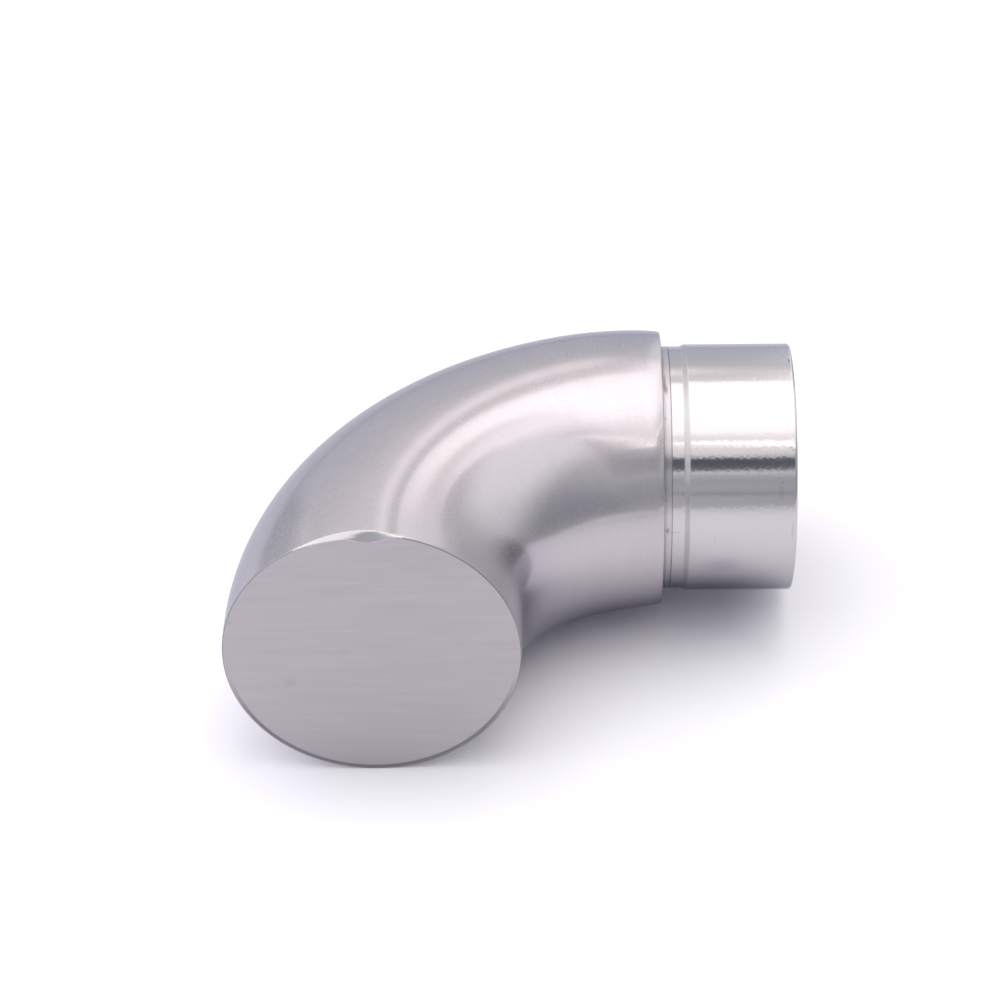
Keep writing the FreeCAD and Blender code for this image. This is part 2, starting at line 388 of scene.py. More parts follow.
# The ground top edge along X: its lowest place, how far it runs out to each side, how fast it
# does so, and the same for the lens
TOP_MIDDLE, TOP_LEFT, TOP_RIGHT, TOP_POWER = -0.6 * MM, 13.0 * MM, 7.0 * MM, 2.5
LENS_MIDDLE, LENS_HALF_WIDTH = 0.35 * MM, 3.05 * MM
# Nothing further back than this was ground
GRIND_BACK = 6 * MM
# How far the facet and the lens are tilted from the wall face
TOP_TILT, LENS_TILT = math.radians(60), math.radians(34.5)


def rim_along(sizes):
    """Where the rim lies along the centre line."""
    return sizes.end_wall + math.pi / 2 * sizes.bend_radius


def mark_along(piece, sizes):
    """Gives the casting its straightened coordinates (distance along the centre line, outwards
    from the bend's hub, upwards) and the map that its brushing follows."""
    s = sizes
    mesh = piece.data
    straight = mesh.attributes.new("straightened", "FLOAT_VECTOR", "POINT")
    for vertex, value in zip(mesh.vertices, straight.data):
        x, y, z = vertex.co
        if y < s.end_wall and x < s.bend_radius:
            value.vector = (y, -x, z)
        elif x < s.bend_radius:
            off_x, off_y = s.bend_radius - x, y - s.end_wall
            turned = math.atan2(off_y, off_x)
            outward = math.hypot(off_x, off_y) - s.bend_radius
            value.vector = (s.end_wall + s.bend_radius * turned, outward, z)
        else:
            past = x - s.bend_radius
            value.vector = (rim_along(s) + past, y - s.end_wall - s.bend_radius, z)
    brushing = mesh.uv_layers.new(name="brushing")
    for face in mesh.polygons:
        wall_face = all(mesh.vertices[vertex].co.y < TOUCH / 2 for vertex in face.vertices)
        middle = straight.data[face.vertices[0]].vector
        start = math.atan2(middle.y, middle.z)
        for corner in face.loop_indices:
            vertex = mesh.loops[corner].vertex_index
            along, outward, up = straight.data[vertex].vector
            if wall_face:
                brushing.data[corner].uv = (up / MAP_SIZE, -outward / MAP_SIZE)
            else:
                around = math.atan2(outward, up)
                around += math.tau * round((start - around) / math.tau)
                brushing.data[corner].uv = (along / MAP_SIZE, around * s.body_radius / MAP_SIZE)


# The length that fills the brushing's map once
MAP_SIZE = 150 * MM


class Nodes:
    """A short way to add and join the nodes of a material or of the world."""

    def __init__(self, owner):
        owner.use_nodes = True
        self.owner, self.tree = owner, owner.node_tree
        self.tree.nodes.clear()

    def add(self, kind, inputs=None, **settings):
        """Adds a node, sets its settings, and joins or sets its inputs by name or number."""
        node = self.tree.nodes.new("ShaderNode" + kind)
        for name, value in settings.items():
            setattr(node, name, value)
        for name, value in (inputs or {}).items():
            self.give(node.inputs[name], value)
        return node

    def give(self, socket, value):
        """Joins a socket to another one or sets its value."""
        if isinstance(value, bpy.types.NodeSocket):
            self.tree.links.new(value, socket)
        else:
            socket.default_value = value

    def math(self, operation, *values):
        """A number worked out from others."""
        return self.add("Math", dict(enumerate(values)), operation=operation).outputs[0]

    plus = partialmethod(math, "ADD")
    minus = partialmethod(math, "SUBTRACT")
    times = partialmethod(math, "MULTIPLY")
    most = partialmethod(math, "MAXIMUM")
    least = partialmethod(math, "MINIMUM")

    def gap(self, first, second):
        """How far apart two numbers are."""
        return self.math("ABSOLUTE", self.minus(first, second))

    def vector(self, operation, *values):
        """A place or a length worked out from places."""
        node = self.add("VectorMath", dict(enumerate(values)), operation=operation)
        return node.outputs["Value" if operation in ("LENGTH", "DISTANCE") else "Vector"]

    def apart(self, place):
        """A place's three parts."""
        return self.add("SeparateXYZ", {0: place}).outputs

    def flat(self, first, second):
        """Two numbers as a flat place."""
        return self.add("CombineXYZ", {0: first, 1: second}).outputs[0]

    def own_place(self):
        """The place on the object itself."""
        return self.add("TexCoord").outputs["Object"]

    def seen(self):
        """1 for what is seen, also in gloss and glass, and 0 for the light that falls on things."""
        path = self.add("LightPath").outputs
        in_things = self.most(path["Is Glossy Ray"], path["Is Transmission Ray"])
        return self.most(path["Is Camera Ray"], in_things)

    def mix(self, factor, first, second):
        """Mixes two colours."""
        node = self.add("Mix", {0: factor, 6: first, 7: second}, data_type="RGBA")
        return node.outputs[2]

    def fit(self, value, low, high, new_low, new_high, smooth=False):
        """Carries a value from one range to another."""
        kind = "SMOOTHSTEP" if smooth else "LINEAR"
        values = dict(enumerate((value, low, high, new_low, new_high)))
        return self.add("MapRange", values, interpolation_type=kind).outputs[0]

    def noise(self, place, stretch, size, detail):
        """Noise of about a size in metres, stretched by a factor along each axis."""
        scaled = self.add("Mapping", {"Vector": place, "Scale": [1 / part for part in stretch]})
        inputs = {"Vector": scaled.outputs[0], "Scale": 1 / size, "Detail": detail}
        return self.add("TexNoise", inputs).outputs["Fac"]

    def spot(self, place, centre, reach):
        """A soft patch: 1 at its centre and 0 from its reach, given along each axis."""
        off = self.vector("SUBTRACT", place, centre)
        share_out = self.vector("MULTIPLY", off, [1 / part for part in reach])
        return self.fit(self.vector("LENGTH", share_out), 0, 1, 1, 0, smooth=True)

    def finish(self, shader, kind="OutputMaterial"):
        """Joins the shader to the output and gives back the material or world."""
        self.give(self.add(kind).inputs["Surface"], shader)
        return self.owner


def plain_colour(value):
    """A colour as a socket takes it."""
    return (*value, 1.0)


# Steel seen almost edge on mirrors hardly more than it does face on
EDGE_TINT = (0.56, 0.59, 0.64, 1.0)
# How far the steel's colour goes up and down
STEEL_SPREAD = 0.02
# The patterns of the finishes, as (stretch along each axis, size, detail)
BEND_GRAIN = ((1, 20, 20), 0.015 * MM, 1.0)
BEND_LINES = ((1, 25, 25), 0.35 * MM, 3.0)
BEND_BANDS = ((1, 5, 5), 3 * MM, 3.0)
FACE_LINES = ((60, 1, 1), 0.2 * MM, 3.0)
FACE_BANDS = ((12, 1, 1), 1.2 * MM, 3.0)
GROOVES = ((1, 80, 80), 0.16 * MM, 2.0)
WAVES = ((1, 1.2, 1.2), 0.55 * MM, 1.0)
PEBBLES = ((1, 1, 1), 0.9 * MM, 4.0)
CLOUDS = ((1, 1, 1), 9 * MM, 3.0)
# Where nearly all of a noise lies, and of the sum of two
NOISE_RANGE, TONE_RANGE = (0.3, 0.7), (0.7, 1.3)


def brushed_shader(nodes, colour_value, roughness, height, anisotropy):
    """Bare metal whose fine lines run across the map's first direction."""
    tangent = nodes.add("Tangent", direction_type="UV_MAP", uv_map="brushing")
    bump = nodes.add("Bump", {"Height": height, "Distance": 1.0, "Strength": 1.0})
    shader = nodes.add("BsdfPrincipled", {
        "Base Color": colour_value,
        "Metallic": 1.0,
        "Roughness": roughness,
        "Specular Tint": EDGE_TINT,
        "Anisotropic": anisotropy,
        "Tangent": tangent.outputs[0],
        "Normal": bump.outputs[0],
    })
    return shader.outputs[0]


def relief(nodes, lines, line_depth, bands, band_depth):
    """The height of fine lines on broad bands."""
    return nodes.plus(nodes.fit(lines, 0, 1, 0, line_depth), nodes.fit(bands, 0, 1, 0, band_depth))


def brushed_tone(nodes, lines, bands):
    """How light the steel is, from 0 to 1, by its lines and bands together."""
    return nodes.fit(nodes.plus(lines, bands), *TONE_RANGE, 0.0, 1.0)


def uneven(nodes, steel, value, spread):
    """The steel's colour, darker and lighter by a share where a value goes from 0 to 1."""
    steel = Vector(steel)
    return nodes.mix(value, plain_colour(steel * (1 - spread)), plain_colour(steel * (1 + spread)))


def satin_steel(finish):
    """The bend: ground and brushed round the tube, so its reflections smear along it. Between
    polished lines lie duller ones, which spread the light further."""
    nodes = Nodes(bpy.data.materials.new("satin_bend"))
    place = nodes.add("Attribute", attribute_name="straightened").outputs["Vector"]
    grain = nodes.noise(place, *BEND_GRAIN)
    lines = nodes.noise(place, *BEND_LINES)
    bands = nodes.noise(place, *BEND_BANDS)
    height = relief(nodes, lines, finish.line_depth, bands, finish.band_depth)
    roughness = nodes.fit(grain, *DULL_SHARE, finish.bend_polish, finish.bend_dullness)
    blunt = nodes.spot(place, BLUNT_MIDDLE, BLUNT_REACH)
    roughness = nodes.fit(blunt, 0, BLUNT_FROM, roughness, finish.blunt_roughness)
    ground = nodes.add("Attribute", attribute_name="ground").outputs["Fac"]
    roughness = nodes.fit(ground, 0, 1, roughness, finish.ground_roughness)
    tone = brushed_tone(nodes, lines, bands)
    steel = nodes.mix(ground, uneven(nodes, finish.satin, tone, STEEL_SPREAD),
                      plain_colour(finish.bright))
    return nodes.finish(brushed_shader(nodes, steel, roughness, height, finish.bend_anisotropy))


# The grain's noise between the polished lines and the dull ones
DULL_SHARE = (0.49, 0.64)
# The bend's inner side is duller beside the wall face, where the wheel hardly reached: the
# patch's middle and reach in the straightened coordinates, and how strong it is where it's full
BLUNT_MIDDLE, BLUNT_REACH = Vector((3, -18.5, 9)) * MM, (15 * MM, 15 * MM, 15 * MM)
BLUNT_FROM = 0.85


def brushed_face(finish):
    """The wall face: a flat linished by straight lines along X, with painted shade along its foot.
    """
    nodes = Nodes(bpy.data.materials.new("brushed_face"))
    place = nodes.own_place()
    lines = nodes.noise(place, *FACE_LINES)
    bands = nodes.noise(place, *FACE_BANDS)
    height = relief(nodes, lines, finish.line_depth, bands, finish.band_depth)
    roughness = nodes.fit(lines, *NOISE_RANGE, finish.face_roughness - FACE_ROUGH_SPREAD,
                          finish.face_roughness + FACE_ROUGH_SPREAD)
    steel = uneven(nodes, finish.linished, brushed_tone(nodes, lines, bands), FACE_SPREAD)
    # Painted shade: a dark line along the foot of the face, for the contact shadow its edge would
    # mirror
    up = nodes.apart(place)[2]
    off_line = nodes.gap(nodes.vector("LENGTH", place), BODY_RADIUS - FOOT_SHADE_INSIDE)
    face_foot_shade = nodes.times(nodes.fit(up, *FOOT_SHADE_GROWS, 0, 1, smooth=True),
                         nodes.fit(off_line, *FOOT_SHADE_FADES, 1, 0))
    steel = nodes.mix(face_foot_shade, steel, plain_colour(PAINTED_FOOT_SHADE))
    for x, z, size, strength in FACE_MARKS:
        mark = nodes.spot(place, (x * MM, 0, z * MM), (size * MM, MM, size * MM))
        steel = nodes.mix(nodes.times(mark, strength), steel, plain_colour(DARK_PIT))
    return nodes.finish(brushed_shader(nodes, steel, roughness, height, finish.face_anisotropy))


# How far the face's colour and its roughness go up and down
FACE_SPREAD, FACE_ROUGH_SPREAD = 0.045, 0.02
# The dark line along the foot of the wall face is painted shade, standing for the contact shadow
# that the edge there would mirror: its colour, how far inside the body's outline it lies, the
# heights between which it grows dark, and how far from its middle it fades
PAINTED_FOOT_SHADE = (0.20, 0.195, 0.22)
FOOT_SHADE_INSIDE = 0.48 * MM
FOOT_SHADE_GROWS = (-2 * MM, -14 * MM)
FOOT_SHADE_FADES = (0.12 * MM, 0.36 * MM)
# Faint dark spots of the wall face, as (x, z, reach in mm, strength)
FACE_MARKS = ((-12.1, -5.2, 1.4, 0.10), (-20.3, 6.0, 0.8, 0.12), (-4.1, 0.5, 0.9, 0.05))


def turned_steel(sizes, finish):
    """The spigot: turned bright on a lathe, with a duller band at the neck."""
    nodes = Nodes(bpy.data.materials.new("turned_spigot"))
    place = nodes.add("Attribute", attribute_name="straightened").outputs["Vector"]
    start = rim_along(sizes)
    grooves = nodes.noise(place, *GROOVES)
    waves = nodes.noise(place, *WAVES)
    height = relief(nodes, grooves, finish.groove_depth, waves, finish.wave_depth)
    along = nodes.apart(place)[0]
    score = start + sizes.score_place
    dull = nodes.fit(along, score, score + DULL_FADES, 1, 0, smooth=True)
    cone_middle = start + sizes.neck_length + sizes.cone_length / 2
    off_cone = nodes.gap(along, cone_middle)
    on_cone = nodes.fit(off_cone, *(part * sizes.cone_length for part in CONE_FADES), 1, 0)
    roughness = nodes.fit(dull, 0, 1, finish.spigot_roughness, finish.neck_roughness)
    roughness = nodes.fit(on_cone, 0, 1, roughness, finish.cone_roughness)
    steel = uneven(nodes, finish.bright, grooves, STEEL_SPREAD)
    # Stains and pits, and the blue-grey painted reflection of the floor's shadow, mixed into the
    # colour
    for past, around, size, strength, mark_colour in SPIGOT_MARKS:
        turned = math.radians(around)
        centre = (start + past * MM, -sizes.spigot_radius * math.cos(turned),
                  sizes.spigot_radius * math.sin(turned))
        mark = nodes.spot(place, centre, [part * MM for part in size])
        steel = nodes.mix(nodes.times(mark, strength), steel, plain_colour(mark_colour))
    return nodes.finish(brushed_shader(nodes, steel, roughness, height, finish.spigot_anisotropy))


# The length over which the dull neck turns bright, and where the duller slope fades, as shares
# of its length from its middle
DULL_FADES = 0.3 * MM
CONE_FADES = (0.5, 0.8)
DARK_PIT = (0.10, 0.09, 0.09)
BROWN = (0.16, 0.10, 0.06)
# Blue-grey painted reflection: the floor's shadow under the spigot, as its underside would mirror
# it
PAINTED_SHADOW_REFLECTION = (0.16, 0.19, 0.24)
# Stains and pits of the spigot, and two blue-grey patches low on it that are painted reflection of
# the floor's shadow under the spigot, as (distance past the rim in mm, degrees round from the front
# over the top, reach along, outwards and up in mm, strength, colour)
SPIGOT_MARKS = (
    (0.2, 76.0, (0.55, 2.0, 0.9), 0.9, DARK_PIT),
    (0.5, 73.5, (0.5, 1.6, 0.8), 0.9, BROWN),
    (0.2, 80.5, (0.5, 2.0, 0.7), 0.7, DARK_PIT),
    (0.2, 58.5, (0.4, 0.7, 0.6), 0.9, DARK_PIT),
    (0.5, 5.0, (0.6, 0.9, 0.8), 0.8, DARK_PIT),
    (1.6, 4.0, (1.2, 0.8, 0.2), 0.4, DARK_PIT),
    (7.7, 0.5, (0.12, 0.5, 0.6), 0.25, DARK_PIT),
    (19.4, 93.0, (0.25, 0.8, 0.4), 0.5, DARK_PIT),
    (18.9, 44.2, (0.18, 0.25, 0.25), 0.5, DARK_PIT),
    (19.3, 43.0, (0.15, 0.25, 0.25), 0.6, DARK_PIT),
    (17.2, 30.5, (0.25, 0.25, 0.25), 0.35, DARK_PIT),
    (17.7, 28.4, (0.22, 0.25, 0.25), 0.35, DARK_PIT),
    (17.5, 24.0, (0.7, 1.0, 2.2), 0.14, DARK_PIT),
    (19.3, 5.0, (0.2, 1.5, 2.2), 0.25, BROWN),
    # Painted reflection of the floor's shadow, low on the spigot
    (9.0, -16.0, (4.5, 3.0, 3.0), 0.25, PAINTED_SHADOW_REFLECTION),
    (9.0, -40.0, (13.0, 11.0, 11.0), 0.45, PAINTED_SHADOW_REFLECTION),
)


def cast_inside(finish):
    """The hollow: left as it was cast, dull and pebbled."""
    nodes = Nodes(bpy.data.materials.new("cast_inside"))
    place = nodes.own_place()
    pebbles = nodes.noise(place, *PEBBLES)
    clouds = nodes.noise(place, *CLOUDS)
    bump = nodes.add("Bump", {"Height": nodes.fit(pebbles, 0, 1, 0, PEBBLE_DEPTH), "Distance": 1.0})
    tinted = uneven(nodes, Vector(finish.satin) * CAST_GAIN, clouds, CAST_SPREAD)
    shader = nodes.add("BsdfPrincipled", {
        "Base Color": tinted,
        "Metallic": 1.0,
        "Roughness": nodes.fit(clouds, *NOISE_RANGE, *CAST_ROUGHNESS),
        "Normal": bump.outputs[0],
    })
    return nodes.finish(shader.outputs[0])


PEBBLE_DEPTH = 0.05 * MM
# How much lighter than the bend the hollow is, how far its colour goes up and down, and its
# least and greatest roughness
CAST_GAIN, CAST_SPREAD, CAST_ROUGHNESS = 1.3, 0.2, (0.5, 0.65)


def dull_edge(finish):
    """The broken edge of the wall face, dull from the grinding, in a dark colour that is painted
    shade, and darker still at its foot, where painted shade stands for the contact shadow it would
    mirror.
    """
    nodes = Nodes(bpy.data.materials.new("dull_edge"))
    up = nodes.apart(nodes.own_place())[2]
    # Painted shade: the edge grows darker towards its foot
    edge_foot_shade = nodes.fit(up, *EDGE_DARKENS, 0, 1, smooth=True)
    tinted = nodes.mix(edge_foot_shade, plain_colour(finish.edge), plain_colour(EDGE_FOOT_SHADE))
    shader = nodes.add("BsdfPrincipled", {
        "Base Color": tinted, "Metallic": 1.0, "Roughness": EDGE_ROUGHNESS,
    })
    return nodes.finish(shader.outputs[0])


# The broken edge's colour at its foot, painted shade for the contact shadow that it would mirror,
# the heights between which it darkens, and its roughness
EDGE_FOOT_SHADE, EDGE_DARKENS, EDGE_ROUGHNESS = (0.05, 0.05, 0.06), (-8 * MM, -18 * MM), 0.4


def finish_casting(piece, sizes, finish):
    """Gives each part of the casting its finish by where it lies."""
    mesh = piece.data
    for material in (
        satin_steel(finish), brushed_face(finish), turned_steel(sizes, finish),
        cast_inside(finish), dull_edge(finish),
    ):
        mesh.materials.append(material)
    names = [material.name for material in mesh.materials]
    straight, ground = mesh.attributes["straightened"].data, mesh.attributes["ground"].data
    rim = rim_along(sizes)
    for face in mesh.polygons:
        places = [straight[vertex].vector for vertex in face.vertices]
        along = sum(place.x for place in places) / len(places)
        out = max(math.hypot(place.y, place.z) for place in places)
        if max(place.x for place in places) < TOUCH / 2:
            kind = "brushed_face"
        elif max(place.x for place in places) < sizes.face_edge_round + TOUCH and not any(
                ground[vertex].value for vertex in face.vertices):
            kind = "dull_edge"
        elif along > rim - TOUCH or (along > rim - 2 * sizes.corner_sink
                                     and sizes.neck_radius - MM < out < sizes.seat_radius + TOUCH):
            kind = "turned_spigot"
            if out < sizes.bore_radius + TOUCH and along < rim + sizes.spigot_length * TURNED_BORE:
                kind = "cast_inside"
        elif out > sizes.body_radius - sizes.casting_wall / 2:
            kind = "satin_bend"
        else:
            kind = "cast_inside"
        face.material_index = names.index(kind)


# The bore is turned bright from this share of the spigot's length to its mouth
TURNED_BORE = 0.7


class WallReturnFinish(bpy.types.PropertyGroup):
    satin: colour("Satin steel", (0.484, 0.455, 0.478), "Colour of the bend")
    linished: colour("Linished steel", (0.457, 0.434, 0.445), "Colour of the wall face")
    bright: colour("Bright steel", (0.528, 0.506, 0.519), "Colour of the turned spigot")
    # The broken edge's dark colour is painted shade: the thin dark line the edge shows round the
    # sides and foot of the face
    edge: colour("Dull edge", (0.25, 0.25, 0.28), "Colour of the wall face's broken edge")
    bend_polish: share("Bend polish", 0.14, "Roughness of the bend's polished lines")
    bend_dullness: share("Bend dullness", 0.48, "Roughness of the bend's dull lines")
    ground_roughness: share("Ground roughness", 0.3, "Roughness of the ground top edge")
    blunt_roughness: share("Blunt roughness", 0.56, "Roughness in the corner of the bend")
    bend_anisotropy: share("Bend brushing", 0.5, "How far the bend's brushing smears")
    face_roughness: share("Face roughness", 0.36, "Roughness of the wall face")
    face_anisotropy: share("Face brushing", 0.85, "How far the face's brushing smears")
    spigot_roughness: share("Spigot roughness", 0.12, "Roughness of the turned spigot")
    spigot_anisotropy: share("Spigot turning", 0.85, "How far the spigot's turning smears")
    neck_roughness: share("Neck roughness", 0.3, "Roughness of the band at the neck")
    cone_roughness: share("Slope roughness", 0.36, "Roughness of the slope behind the neck")
    line_depth: length("Line depth", 0.0001 * MM, "Depth of the finest brushed lines")
    band_depth: length("Band depth", 0.0015 * MM, "Depth of the broad brushed bands")
    groove_depth: length("Groove depth", 0.0004 * MM, "Depth of the turned grooves")
    wave_depth: length("Wave depth", 0.009 * MM, "Unevenness of the spigot")


TENT_RADIUS = 500 * MM


class WallReturnStage(bpy.types.PropertyGroup):
    azimuth: angle("Azimuth", 0.826, "Camera's turn about the object")
    elevation: angle("Elevation", 36.321, "Camera's height above the horizon")
    roll: angle("Roll", -0.939, "Camera's tilt about its own axis")
    distance: length("Distance", 478.29 * MM, "From the camera to the point it looks at")
    lens: share("Lens", 120.1, "Focal length in millimetres", 500)
    tent_radius: length("Tent radius", TENT_RADIUS, "Distance from the object to the light tent")
    tent_width: length("Tent width", 600 * MM, "Between the tent's two sides")
    floor_colour: colour("Floor", (0.80, 0.787, 0.838), "Colour of the floor")
    # The floor lift is painted light: a glow that grows away from the casting's outline
    floor_lift: share("Floor lift", 0.15, "Added to what is seen of the floor off the casting")
    world_level: share("World level", 0.6, "Brightness of the room outside the tent", 10)


# The point that the camera looks at
AIM = Vector((18.776, 10.0, 20.217)) * MM
TENT_MIDDLE = Vector((20, 30, 0)) * MM

# How bright the tent's cloth is by the angle round it, from the front (0 degrees) over the
# top (90) to the back (180), as (degrees, level, how cool: below 0 is warm)
CLOTH_OVER = (
    (-8, 0.70, -0.6), (2, 0.60, 0.9), (9, 0.50, 1.0), (26, 0.58, 1.0),
    (29, 0.75, 0.5), (32, 0.62, 0.6), (34, 0.48, 1.6), (37, 0.42, 2.0),
    (43, 0.22, 2.5), (45, 0.45, 2.0), (49, 1.00, 0.2), (55, 0.96, -0.8),
    (60, 1.10, -0.8), (66, 1.18, -1.0), (70, 1.36, -0.5), (80, 1.48, 0.0),
    (95, 1.62, 0.0), (106, 1.62, 0.0), (111, 1.48, 0.0), (118, 1.46, -0.4),
    (122, 1.30, -1.0), (126, 1.10, -1.0), (130, 1.15, -1.0), (136, 1.18, -0.8),
    (143, 0.96, 0.0), (148, 0.82, 0.2), (160, 0.82, 0.6), (188, 0.94, 1.2),
)
# The same where the camera stands in the tent's opening, with a lamp above it
CAMERA_AND_LAMP = (
    (-8, 0.75, -0.3), (0, 0.58, 0.8), (6, 0.60, 0.8), (9.5, 0.55, 0.9),
    (11.3, 0.36, 1.0), (13, 0.50, 0.9), (17.5, 0.57, 0.7), (23, 0.50, 0.9),
    (29.5, 0.64, 0.8), (31.2, 0.95, 0.3), (32.8, 0.60, 0.7), (34.2, 0.12, 2.0),
    (37, 0.085, 2.6), (44.0, 0.085, 2.8), (45.0, 0.60, 1.5), (47.0, 1.08, 0.0),
    (50, 1.20, -0.8), (57, 1.38, -1.2), (58.3, 2.50, -1.0), (59.6, 2.50, -1.0),
    (61, 1.32, -1.2), (65, 1.45, -1.0), (69, 1.85, -0.6), (85, 1.78, -0.2),
    (112, 1.95, -0.5), (120.8, 1.85, -0.8), (123, 1.10, -1.3), (130, 0.87, -0.4),
    (138, 0.79, 0.0), (156, 0.74, 0.8), (172, 0.80, 1.2), (188, 0.98, 1.2),
)
# The same towards the right side, where the bright seam of the ceiling rises with X
CLOTH_RIGHT = (
    (-8, 1.05, 0.3), (-1, 1.00, 0.3), (0.5, 0.50, 0.9), (9, 0.46, 1.0),
    (26, 0.50, 1.0), (30, 0.70, 0.6), (33, 0.58, 0.8), (36, 0.34, 1.5),
    (40, 0.18, 2.0), (44, 0.26, 2.0), (46, 0.52, 1.0), (50, 0.95, 0.3),
    (54, 1.10, -0.5), (56.5, 1.50, -0.8), (66, 1.50, -1.0), (75, 1.85, -0.6),
    (85, 2.20, -0.2), (117, 2.20, -0.5), (124, 2.05, -1.0), (132, 1.85, -0.8),
    (142, 1.15, -0.4), (150, 1.25, 0.2), (188, 1.20, 1.0),
)
# The same at the far right
CLOTH_FAR_RIGHT = (
    (-8, 1.05, 0.3), (-1, 1.00, 0.3), (0.5, 0.52, 0.9), (12, 0.46, 1.0),
    (26, 0.54, 1.0), (30, 0.68, 0.6), (34, 0.60, 0.8), (40, 0.50, 1.2),
    (45, 0.48, 1.2), (50, 0.62, 0.3), (54, 0.80, -0.3), (56, 1.05, -0.8),
    (63, 1.10, -1.0), (70, 1.40, -0.8), (85, 1.75, -0.3), (103, 1.60, -0.5),
    (114, 1.20, -0.8), (122, 1.08, -0.8), (131, 1.24, -0.8), (141, 1.15, -0.4),
    (160, 1.30, 0.2), (188, 1.20, 1.0),
)
# The two sides by height above the floor in millimetres, towards the front and the back
RIGHT_FRONT = (
    (-42, 1.05, 0.3), (-22, 1.00, 0.3), (-17, 0.44, 1.0), (30, 0.36, 1.2), (100, 0.42, 1.2),
    (170, 0.58, 0.6), (260, 0.72, 0.3), (400, 0.92, 0.0),
)
RIGHT_BACK = (
    (-20, 0.62, 0.5), (5, 0.72, 0.8), (45, 0.88, 0.8), (110, 1.05, 0.2), (210, 1.28, 0.0),
    (400, 1.30, -0.3),
)
LEFT_FRONT = (
    (-20, 1.00, 0.5), (45, 1.40, 0.3), (110, 1.90, 0.2), (210, 2.10, 0.1), (300, 1.85, 0.0),
    (400, 1.70, 0.0),
)
LEFT_BACK = ((-20, 0.62, 0.8), (110, 0.62, 0.8), (210, 0.92, 0.4), (400, 1.28, 0.0))
# The level that a ramp's colour of 1 stands for, and how much brighter the whole tent burns
TENT_FULL = 4.0
TENT_GAIN = 1.12


def tent_colour(level, cool):
    """The colour of cloth at a level, as a share of the tent's full brightness."""
    cold, warm = max(cool, 0), max(-cool, 0)
    tint = (1, 1 + 0.03 * cold - 0.05 * warm, 1 + 0.11 * cold - 0.055 * warm)
    return plain_colour(level / TENT_FULL * part for part in tint)


def tent_ramp(nodes, value, stops, unit):
    """A colour ramp over a value, from stops given in a unit."""
    low, high = stops[0][0], stops[-1][0]
    ramp = nodes.add("ValToRGB", {0: nodes.fit(value, low * unit, high * unit, 0, 1)})
    elements = ramp.color_ramp.elements
    elements.remove(elements[-1])
    for number, (place, level, cool) in enumerate(stops):
        share_up = (place - low) / (high - low)
        element = elements[0] if number == 0 else elements.new(share_up)
        element.position = share_up
        element.color = tent_colour(level, cool)
    return ramp.outputs[0]


def glow(nodes, light_colour):
    """Finishes a cloth as light of a colour, at the tent's full brightness."""
    light = nodes.add("Emission", {"Color": light_colour, "Strength": TENT_FULL * TENT_GAIN})
    return nodes.finish(light.outputs[0])


def off_seam(nodes, x, turned):
    """How far a point of the cloth lies from the middle of the ceiling's seam, which runs along X
    and then bends up towards the far right."""
    past = nodes.minus(x, SEAM_START)
    over = nodes.minus(turned, SEAM)
    climbed = nodes.math("DIVIDE", nodes.most(over, 0.0), SEAM_CLIMB)
    arc = nodes.times(over, TENT_RADIUS)
    past_rise = nodes.minus(past, nodes.times(climbed, climbed))
    to_rise = nodes.vector("LENGTH", nodes.flat(past_rise, nodes.least(arc, 0.0)))
    to_start = nodes.vector("LENGTH", nodes.flat(nodes.most(past, 0.0), arc))
    return nodes.least(to_rise, to_start)


def cloth_over():
    """The cloth from the front over the top to the back: its bands by the angle round the tent,
    going from the left to the camera and the lamp and on to the right."""
    nodes = Nodes(bpy.data.materials.new("cloth_over"))
    place = nodes.own_place()
    x, y, z = nodes.apart(place)
    turned = nodes.math("ARCTAN2", z, nodes.times(y, -1.0))
    past_start = nodes.most(nodes.minus(x, SEAM_START), 0.0)
    rise = nodes.times(nodes.math("SQRT", past_start), SEAM_CLIMB)
    degree = math.radians(1)
    left = tent_ramp(nodes, turned, CLOTH_OVER, degree)
    middle = tent_ramp(nodes, turned, CAMERA_AND_LAMP, degree)
    seam_place = nodes.plus(rise, SEAM)
    lowered = nodes.times(rise, nodes.fit(turned, SEAM_FOOT, seam_place, 0, 1))
    turned_right = nodes.minus(turned, lowered)
    to_far_right = nodes.fit(x, *RIGHT_TO_FAR, 0, 1, smooth=True)
    right = nodes.mix(to_far_right, tent_ramp(nodes, turned_right, CLOTH_RIGHT, degree),
                      tent_ramp(nodes, turned_right, CLOTH_FAR_RIGHT, degree))
    to_middle = nodes.fit(x, *LEFT_TO_MIDDLE, 0, 1, smooth=True)
    to_right = nodes.fit(x, *MIDDLE_TO_RIGHT, 0, 1, smooth=True)
    cloth = nodes.mix(to_right, nodes.mix(to_middle, left, middle), right)
    on_seam = nodes.fit(off_seam(nodes, x, turned), 0.5 * SEAM_HALF, SEAM_HALF, 1, 0, smooth=True)
    fading = nodes.times(to_right, nodes.fit(x, *SEAM_FADES, 1, SEAM_FAINT))
    seam = nodes.times(on_seam, fading)
    cloth = nodes.mix(seam, cloth, tent_colour(*SEAM_LIGHT))
    patch = nodes.spot(nodes.flat(x, turned), PATCH_MIDDLE, PATCH_REACH)
    return glow(nodes, nodes.mix(patch, cloth, tent_colour(*PATCH)))


# A brighter patch of the cloth behind the object, placed by X and by the angle round the tent
PATCH = (1.75, -1.0)
PATCH_MIDDLE = (20 * MM, math.radians(136), 0)
PATCH_REACH = (48 * MM, math.radians(11), 1)
# Where one set of bands goes over into the next, along X
LEFT_TO_MIDDLE = (5 * MM, 40 * MM)
MIDDLE_TO_RIGHT = (75 * MM, 93 * MM)
RIGHT_TO_FAR = (145 * MM, 205 * MM)
